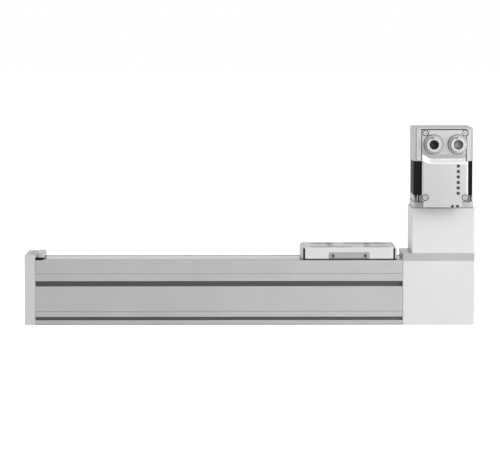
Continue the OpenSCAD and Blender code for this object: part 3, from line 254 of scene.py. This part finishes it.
# darker edges and strong crevice darkening paint shade along the seam and round the moats
surface("hood_paint", grey(0.60), 0.25, 0.50, 1900, tone=0.035, bump=0.10, bevel=0.4, wear_and_edge_shade=0.08,
        edge_tone=0.6, specular=0.2, crevice=0.95, crevice_reach=1.4)
surface("board_green", (0.02, 0.14, 0.06), 0.4, 0.0, 800)
surface("black_plastic", grey(0.012, 0.001), 0.5, 0.0, 2200, tone=0.2, bump=0.2, bevel=0.15,
        wear_and_edge_shade=0.03)
surface("insert_grey", grey(0.58, -0.01), 0.4, 0.0, 2000, bevel=0.15)
# the dark edge and the crevice darkening paint the shade round each inlet's flange
surface("inlet_nickel", grey(0.60, -0.01), 0.25, 0.80, 1500, (1, 4, 1), tone=0.02, bump=0.03,
        bevel=0.5, wear_and_edge_shade=0.9, edge_tone=0.2, rough_swing=0.03, crevice=0.9, crevice_reach=5.0)
surface("lens_dark", grey(0.03, 0.003), 0.25, 0.0, 1500, tone=0.2, bevel=0.3, coat=0.3)

slot_of = {part["node"]: part["material_slot"] for part in frame["record"]["subparts"]}
for name, obj in frame["nodes"].items():
    obj.data.materials.clear()
    obj.data.materials.append(FINISH[slot_of[name]])
    for face in obj.data.polygons:
        face.material_index = 0


# ---- Meshes; sizes and places are in millimetres from here to the stage ----

def vertex(bm, x, y, z):
    return bm.verts.new((x * MM, y * MM, z * MM))


def bridge(bm, first, second):
    """Closes the gap between two rings of vertices with faces."""
    for k in range(len(first)):
        j = (k + 1) % len(first)
        bm.faces.new([first[k], first[j], second[j], second[k]])


def make_object(name, bm, material=None):
    """Turns the finished bmesh into a mesh object of the scene."""
    mesh = bpy.data.meshes.new(name)
    bm.to_mesh(mesh)
    bm.free()
    if material:
        mesh.materials.append(material)
    obj = bpy.data.objects.new(name, mesh)
    bpy.context.scene.collection.objects.link(obj)
    return obj


def make_piece(name, bm, slot):
    """A piece in one finish, with all its faces turned outwards."""
    bmesh.ops.recalc_face_normals(bm, faces=bm.faces)
    return make_object(name, bm, FINISH[slot])


def steps(marks, pitch):
    """Places from the first mark to the last, through every mark, no further apart than pitch."""
    out = []
    for a, b in zip(marks, marks[1:]):
        n = max(1, math.ceil((b - a) / pitch))
        out += [a + (b - a) * i / n for i in range(n)]
    return out + [marks[-1]]


def smooth(t):
    """From 0 to 1, level at both ends."""
    t = max(0.0, min(1.0, t))
    return t * t * (3 - 2 * t)


def ease(t):
    """From 0 to 1, about half way between a straight ramp and smooth()."""
    return 0.45 * t + 0.55 * smooth(t)


# ---- The controller hood, sculpted over its CAD node ----

hood_low, hood_high = (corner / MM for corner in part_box("controller_hood"))
HOOD_LEFT, HOOD_RIGHT = hood_low.x, hood_high.x
HOOD_MIDDLE = (HOOD_LEFT + HOOD_RIGHT) / 2
HOOD_FRONT = hood_low.y
HOOD_BOTTOM, HOOD_TOP = hood_low.z, hood_high.z
# the lower edges of the motor's rear housing, and of the hood's full width
REAR_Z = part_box("motor_rear_housing")[0].z / MM
PANEL_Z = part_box("controller_box")[0].z / MM - 0.3
PANEL_THICKNESS = 6.0
TONGUE_LEFT, TONGUE_RIGHT = HOOD_LEFT + 1.1, HOOD_RIGHT - 5.4
EDGE_RADIUS = 1.0
# places along Y where the hood's body and its overhanging rim end at the back
BODY_BACK, RIM_BACK = -28.5, -29.6

# the groove between the inlet field and the panel below: its two edges rise towards the sides
GROOVE_DEPTH = 1.5
VALLEY_SHARE = 0.55
FIELD_EDGE, FIELD_RISE_LEFT, FIELD_RISE_RIGHT = REAR_Z + 7.6, 5.0, 2.0
PANEL_EDGE, PANEL_RISE_LEFT = REAR_Z - 1.6, 2.6
RISE_WIDTH_LEFT, RISE_WIDTH_RIGHT = 11, 7

# the raised rim that frames the inlet field, and the dark seam inside it
RIM_BOTTOM = REAR_Z + 1.4
RIM_LEFT, RIM_RIGHT = HOOD_LEFT - 4.1, HOOD_RIGHT + 2.0
RIM_SETBACK = 0.3
SEAM_WIDTH, SEAM_DEPTH = 0.8, 2.4
SEAM_LEFT, SEAM_RIGHT = HOOD_LEFT - 0.5, HOOD_RIGHT - 2.3
SEAM_TOP = HOOD_TOP - 0.4

# the two notches in the lower edge, each with a black tab that paints the shade of the opening
# behind it
NOTCHES = [HOOD_MIDDLE + 6.9, HOOD_MIDDLE + 11.6]
NOTCH_HALF_WIDTH = 1.2
NOTCH_TOP = HOOD_BOTTOM + 2.2

# the grid's widest cells, how far a steep wall leans, and what counts as on an edge
HOOD_PITCH_X, HOOD_PITCH_Z = 0.55, 0.5
LEAN = 0.05
TOLERANCE = 0.02


def groove_depth_at(x, z):
    """How deep the groove is: nothing at its two edges, and most in the valley between them."""
    left = smooth((HOOD_LEFT + RISE_WIDTH_LEFT - x) / RISE_WIDTH_LEFT)
    right = smooth((x - HOOD_RIGHT + RISE_WIDTH_RIGHT) / RISE_WIDTH_RIGHT)
    upper = FIELD_EDGE + FIELD_RISE_LEFT * left * left + FIELD_RISE_RIGHT * right
    lower = PANEL_EDGE + PANEL_RISE_LEFT * left * left
    valley = lower + VALLEY_SHARE * (upper - lower)
    if z >= upper or z <= lower:
        return 0.0
    if z > valley:
        return GROOVE_DEPTH * ease((upper - z) / (upper - valley))
    return GROOVE_DEPTH * ease((z - lower) / (valley - lower))


def hood_depth_at(x, z):
    """How far the hood's front lies behind its foremost plane."""
    depth = groove_depth_at(x, z)
    first, last = HOOD_LEFT, HOOD_RIGHT
    if z >= RIM_BOTTOM:
        first, last = RIM_LEFT, RIM_RIGHT
        outside = max(SEAM_LEFT - x, x - SEAM_RIGHT, z - SEAM_TOP + SEAM_WIDTH)
        if TOLERANCE < outside < SEAM_WIDTH - TOLERANCE:
            return SEAM_DEPTH
        if outside > 0:
            depth = RIM_SETBACK
    for gap in (x - first, last - x, HOOD_TOP - z):
        if gap < EDGE_RADIUS:
            across = max(0.0, EDGE_RADIUS ** 2 - (EDGE_RADIUS - gap) ** 2)
            depth = max(depth, EDGE_RADIUS - math.sqrt(across))
    return depth


def hood_back_at(x, z):
    """Where the hood ends at the back, as a place along Y."""
    if not HOOD_LEFT - TOLERANCE < x < HOOD_RIGHT + TOLERANCE:
        return RIM_BACK
    return BODY_BACK if z >= REAR_Z else HOOD_FRONT + PANEL_THICKNESS


def hood_has(x, z):
    """Whether the hood's outline, seen from the front, holds the point."""
    if z >= RIM_BOTTOM:
        return True
    if z >= PANEL_Z:
        return HOOD_LEFT < x < HOOD_RIGHT
    in_notch = z < NOTCH_TOP and any(abs(x - middle) < NOTCH_HALF_WIDTH for middle in NOTCHES)
    return TONGUE_LEFT < x < TONGUE_RIGHT and not in_notch


def hood_columns():
    """Places along X for the columns of vertices, denser at edges, seam and notches."""
    seam = [0.0, LEAN, SEAM_WIDTH - LEAN, SEAM_WIDTH]
    rim_round, body_round = [0.0, 0.1, 0.4, 1.0], [0.0, 0.3, 1.1]
    left = [RIM_LEFT + r for r in rim_round] + [HOOD_LEFT + r for r in body_round]
    right = [RIM_RIGHT - r for r in rim_round] + [HOOD_RIGHT - r for r in body_round]
    marks = left + right + [SEAM_LEFT - r for r in seam] + [SEAM_RIGHT + r for r in seam]
    marks += [middle + side * NOTCH_HALF_WIDTH for middle in NOTCHES for side in (-1, 1)]
    return steps(sorted(marks + [TONGUE_RIGHT]), HOOD_PITCH_X)


def hood_rows():
    """Places along Z for the rows of vertices.

    The row 0.6 below the top is out of order: it folds a strip 0.2 high.
    """
    seam_bottom = SEAM_TOP - SEAM_WIDTH
    return steps([HOOD_BOTTOM, NOTCH_TOP, PANEL_Z, REAR_Z - LEAN, REAR_Z, RIM_BOTTOM,
                  seam_bottom, seam_bottom + LEAN, SEAM_TOP - LEAN, SEAM_TOP,
                  HOOD_TOP - 0.6, HOOD_TOP - 0.15, HOOD_TOP], HOOD_PITCH_Z)


def make_hood():
    """A front and a back sheet over the cells of a grid, walled in wherever the hood ends."""
    xs, zs = hood_columns(), hood_rows()
    bm = bmesh.new()
    made = {}

    def corner(i, k, front):
        key = (i, k, front)
        if key not in made:
            y = HOOD_FRONT + hood_depth_at(xs[i], zs[k]) if front else hood_back_at(xs[i], zs[k])
            made[key] = vertex(bm, xs[i], y, zs[k])
        return made[key]

    def solid(i, k):
        if not (0 <= i < len(xs) - 1 and 0 <= k < len(zs) - 1):
            return False
        return hood_has((xs[i] + xs[i + 1]) / 2, (zs[k] + zs[k + 1]) / 2)

    for i in range(len(xs) - 1):
        for k in range(len(zs) - 1):
            if not solid(i, k):
                continue
            cell = [(i, k), (i + 1, k), (i + 1, k + 1), (i, k + 1)]
            bm.faces.new([corner(a, b, True) for a, b in cell])
            bm.faces.new([corner(a, b, False) for a, b in reversed(cell)])
            neighbours = [(i, k - 1), (i + 1, k), (i, k + 1), (i - 1, k)]
            for start, end, neighbour in zip(cell, cell[1:] + cell[:1], neighbours):
                if not solid(*neighbour):
                    bm.faces.new([corner(*end, True), corner(*start, True),
                                  corner(*start, False), corner(*end, False)])
    return make_piece("hood_shell", bm, "hood_paint")


# ---- Holes in the hood ----

# sides of a round cutter, and how far ahead of the hood each cutter starts
ROUND = 48
AHEAD = 2
LIGHTS = 6
INLET_RADIUS, INLET_DEPTH = 7.64, 12
INLET_MOAT, INLET_MOAT_DEPTH = (8.6, 9.3), 2.6
SCREW_RADIUS = 2.35
SCREW_SINK, SCREW_SINK_DEPTH = 2.95, 1.8
SCREW_MOAT, SCREW_MOAT_DEPTH = (SCREW_RADIUS, 3.1), 3.6
LIGHT_PLAY, LIGHT_DEPTH = 0.06, 1.5


def rod(x, z, radius, depth):
    """A round cutter that reaches from ahead of the hood to a depth in it."""
    bm = bmesh.new()
    bmesh.ops.create_cone(bm, cap_ends=True, segments=ROUND, radius1=radius * MM,
                          radius2=radius * MM, depth=(depth + AHEAD) * MM)
    bmesh.ops.rotate(bm, verts=bm.verts, matrix=Euler((math.pi / 2, 0, 0)).to_matrix())
    middle = Vector((x, HOOD_FRONT + (depth - AHEAD) / 2, z))
    bmesh.ops.translate(bm, verts=bm.verts, vec=middle * MM)
    return bm


def tube(x, z, inner, outer, depth):
    """A cutter of the same reach with a bore, for a moat."""
    bm = bmesh.new()
    start, end = HOOD_FRONT - AHEAD, HOOD_FRONT + depth
    turns = [math.tau * k / ROUND for k in range(ROUND)]
    loops = []
    for radius, y in ((outer, start), (outer, end), (inner, end), (inner, start)):
        loops.append([vertex(bm, x + radius * math.cos(turn), y, z + radius * math.sin(turn))
                      for turn in turns])
    for first, second in zip(loops, loops[1:] + loops[:1]):
        bridge(bm, first, second)
    bmesh.ops.recalc_face_normals(bm, faces=bm.faces)
    return bm


def cut_holes(obj, cutters):
    """Takes cutters away from an object. No two of them may overlap."""
    joined = bmesh.new()
    for bm in cutters:
        piece = bpy.data.meshes.new("cutter")
        bm.to_mesh(piece)
        bm.free()
        joined.from_mesh(piece)
        bpy.data.meshes.remove(piece)
    tool = make_object("cutters", joined)
    modifier = obj.modifiers.new("holes", "BOOLEAN")
    modifier.operation = "DIFFERENCE"
    modifier.solver = "EXACT"
    modifier.object = tool
    result = bpy.data.meshes.new_from_object(
        obj.evaluated_get(bpy.context.evaluated_depsgraph_get()))
    obj.modifiers.clear()
    obj.data = result
    bpy.data.objects.remove(tool)


inlets = [sum(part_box(node), Vector()) / (2 * MM) for node in ("power_inlet", "logic_inlet")]
screw_low, screw_high = (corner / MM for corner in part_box("hood_screws"))
screws = [(x, z) for x in (screw_low.x + SCREW_RADIUS, screw_high.x - SCREW_RADIUS)
          for z in (screw_low.z + SCREW_RADIUS, screw_high.z - SCREW_RADIUS)]
light_low, light_high = (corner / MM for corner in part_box("status_lights"))
light_x = (light_low.x + light_high.x) / 2
light_radius = (light_high.x - light_low.x) / 2
light_pitch = (light_high.z - light_low.z - 2 * light_radius) / (LIGHTS - 1)

hood = make_hood()
# the moats overlap the holes they surround, so they are cut in a second pass
cut_holes(hood,
          [rod(p.x, p.z, INLET_RADIUS, INLET_DEPTH) for p in inlets]
          + [rod(x, z, SCREW_SINK, SCREW_SINK_DEPTH) for x, z in screws]
          + [rod(light_x, light_low.z + light_radius + i * light_pitch,
                 light_radius + LIGHT_PLAY, LIGHT_DEPTH) for i in range(LIGHTS)])
cut_holes(hood,
          [tube(p.x, p.z, *INLET_MOAT, INLET_MOAT_DEPTH) for p in inlets]
          + [tube(x, z, *SCREW_MOAT, SCREW_MOAT_DEPTH) for x, z in screws])
hood.data.shade_smooth()
hood.data.set_sharp_from_angle(angle=math.radians(32))
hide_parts("controller_hood")
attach(hood, "frame")


# ---- Black tabs in the two notches of the hood's lower edge, painting the shade of the openings ----

def make_notch_shade_tabs():
    """Two tabs, each a prism from back to front with a chamfered front face."""
    outline = [(-1.1, 0.1), (1.1, 0.1), (1.1, 1.5), (0.7, 2.0), (-0.7, 2.0), (-1.1, 1.5)]
    foot = outline[0][1]
    bm = bmesh.new()
    for middle in NOTCHES:
        rings = []
        for depth, shrink in ((5.0, 0.0), (1.2, 0.0), (0.9, 0.15)):
            rings.append([vertex(bm, middle + x * (1 - shrink), HOOD_FRONT + depth,
                                 HOOD_BOTTOM + foot + (z - foot) * (1 - shrink))
                          for x, z in outline])
        bm.faces.new(rings[0])
        bm.faces.new(list(reversed(rings[-1])))
        for first, second in zip(rings, rings[1:]):
            bridge(bm, first, second)
    return make_piece("hood_notch_shade", bm, "black_plastic")


notch_shade_tabs = make_notch_shade_tabs()
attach(notch_shade_tabs, "frame")


# ---- Thin black sheets in the slide's long recesses, painting the recesses' shade ----

# both ends from the slide's middle, and the distance to its middle line, as in the part's source
RECESSES = [(-38, 4, -25.7), (13.5, 38, -25.7), (-37, -13, 15.25), (-4.5, 38, 15.25)]
SHADE_SHEET_HALF_WIDTH = 2.15
SHADE_SHEET_PLAY = 0.05
SHADE_SHEET_SUNK = 0.02
SHADE_SHEET_THICKNESS = 0.25
ARC_STEPS = 12


# thin black sheets sunk into the recesses, as painted shade
def make_recess_shade_sheets():
    low, high = (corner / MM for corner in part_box("slide"))
    middle = (low.x + high.x) / 2
    top = high.z - SHADE_SHEET_SUNK
    inset = SHADE_SHEET_HALF_WIDTH + SHADE_SHEET_PLAY
    bm = bmesh.new()
    for start, stop, y in RECESSES:
        outline = []
        for centre, turn in ((middle + stop - inset, -90), (middle + start + inset, 90)):
            for k in range(ARC_STEPS + 1):
                angle = math.radians(turn + k * 180 / ARC_STEPS)
                outline.append((centre + SHADE_SHEET_HALF_WIDTH * math.cos(angle),
                                y + SHADE_SHEET_HALF_WIDTH * math.sin(angle)))
        lower = [vertex(bm, *point, top - SHADE_SHEET_THICKNESS) for point in outline]
        upper = [vertex(bm, *point, top) for point in outline]
        bm.faces.new(upper)
        bm.faces.new(list(reversed(lower)))
        bridge(bm, lower, upper)
    return make_piece("slide_recess_shade", bm, "black_rubber")


recess_shade_sheets = make_recess_shade_sheets()
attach(recess_shade_sheets, "carriage")


# ---- Stage; places are in metres from here on ----

STAGE_HALF_WIDTH = 9
STAGE_FRONT, HORIZON, STAGE_BACK = -7, 0.25, 12
STAGE_Z = -0.0002
PAPER_GREY = 0.75
PAPER_GLOW = 0.75


def seen_by(tree, path, rays):
    """1 for the kinds of ray named, and 0 for all others."""
    value = path.outputs[rays[0]]
    for ray in rays[1:]:
        value = math_node(tree, "MAXIMUM", value, path.outputs[ray])
    return value


def studio_paper(name, rays):
    """Pale paper with a glow that the kinds of ray named see, and no others."""
    paper = bpy.data.materials.new(name)
    paper.use_nodes = True
    tree = paper.node_tree
    matt = set_inputs(tree.nodes["Principled BSDF"], Base_Color=shade(grey(PAPER_GREY), 1),
                      Roughness=0.9, Specular_IOR_Level=0.0)
    path = tree.nodes.new("ShaderNodeLightPath")
    glow = tree.nodes.new("ShaderNodeEmission")
    tree.links.new(math_node(tree, "MULTIPLY", seen_by(tree, path, rays), PAPER_GLOW),
                   glow.inputs["Strength"])
    both = tree.nodes.new("ShaderNodeAddShader")
    tree.links.new(matt.outputs["BSDF"], both.inputs[0])
    tree.links.new(glow.outputs["Emission"], both.inputs[1])
    tree.links.new(both.outputs["Shader"], tree.nodes["Material Output"].inputs["Surface"])
    return paper


def paper_plane(name, near, far, rays):
    bm = bmesh.new()
    left, right = -STAGE_HALF_WIDTH, STAGE_HALF_WIDTH
    bm.faces.new([bm.verts.new((x, y, STAGE_Z)) for x, y in
                  ((left, near), (right, near), (right, far), (left, far))])
    make_object(name, bm, studio_paper(name + "_paper", rays))


paper_plane("floor", STAGE_FRONT, HORIZON, ["Is Camera Ray"])
paper_plane("backdrop", HORIZON, STAGE_BACK,
            ["Is Camera Ray", "Is Glossy Ray", "Is Transmission Ray"])


# ---- Light and camera ----

SKY_LEVEL = 0.46
# how bright reflections find the room, from the camera's side to the far side
CARD_TONES = [(0.0, 1.0), (0.07, 0.95), (0.2, 0.12), (0.52, 0.12), (0.68, 1.0)]


def dark_cards(tree, path):
    """The cards at the sides that give metal its dark edges, seen by reflections alone."""
    facing = tree.nodes.new("ShaderNodeTexCoord")
    parts = tree.nodes.new("ShaderNodeSeparateXYZ")
    tree.links.new(facing.outputs["Generated"], parts.inputs[0])
    cards = tree.nodes.new("ShaderNodeValToRGB")
    while len(cards.color_ramp.elements) < len(CARD_TONES):
        cards.color_ramp.elements.new(0.5)
    for stop, (place, tone) in zip(cards.color_ramp.elements, CARD_TONES):
        stop.position = place
        stop.color = shade(grey(tone), 1)
    tree.links.new(remap(tree, parts.outputs["Y"], From_Min=-1.0), cards.inputs["Fac"])
    reflected = tree.nodes.new("ShaderNodeMix")
    reflected.inputs["A"].default_value = 1.0
    tree.links.new(path.outputs["Is Glossy Ray"], reflected.inputs["Factor"])
    tree.links.new(cards.outputs["Color"], reflected.inputs["B"])
    return reflected.outputs["Result"]


def studio_world():
    world = bpy.data.worlds.new("studio")
    world.use_nodes = True
    tree = world.node_tree
    sky = set_inputs(tree.nodes["Background"], Color=(1, 1, 1, 1))
    path = tree.nodes.new("ShaderNodeLightPath")
    direct = seen_by(tree, path, ["Is Camera Ray", "Is Transmission Ray", "Is Glossy Ray"])
    level = remap(tree, direct, To_Min=SKY_LEVEL, To_Max=1.0)
    tree.links.new(math_node(tree, "MULTIPLY", level, dark_cards(tree, path)),
                   sky.inputs["Strength"])
    return world


def lamp(name, place, target, size, power):
    data = bpy.data.lights.new(name, "AREA")
    data.shape = "RECTANGLE"
    data.size, data.size_y = size
    data.energy = power
    obj = bpy.data.objects.new(name, data)
    obj.location = place
    obj.rotation_euler = (Vector(target) - Vector(place)).to_track_quat("-Z", "Y").to_euler()
    bpy.context.scene.collection.objects.link(obj)


def set_camera(place, tilt, turn, lens):
    """A camera looking along +Y, tilted down and turned to its right, in degrees."""
    data = bpy.data.cameras.new("camera")
    data.sensor_width = 36
    data.lens = lens
    data.clip_end = 100
    camera = bpy.data.objects.new("camera", data)
    camera.location = place
    camera.rotation_euler = Euler((math.radians(90 - tilt), 0, math.radians(-turn)), "XYZ")
    bpy.context.scene.collection.objects.link(camera)
    bpy.context.scene.camera = camera


bpy.context.scene.world = studio_world()
MIDDLE = (0.03, 0, 0.06)
lamp("key", (0.9, -0.95, 0.35), MIDDLE, (1.3, 1.1), 12.5)
lamp("fill", (-1.7, -0.8, 0.5), MIDDLE, (1.0, 0.8), 2.0)
lamp("overhead", (0.1, -1.3, 1.25), MIDDLE, (2.2, 0.9), 4)
lamp("side", (-1.6, 0.35, 0.25), (0.2, 0, 0.1), (0.8, 0.6), 8)
set_camera((0.0057, -2.63, 0.2953), tilt=4.393, turn=0.525, lens=197.45)
bpy.context.scene.view_settings.view_transform = "Standard"
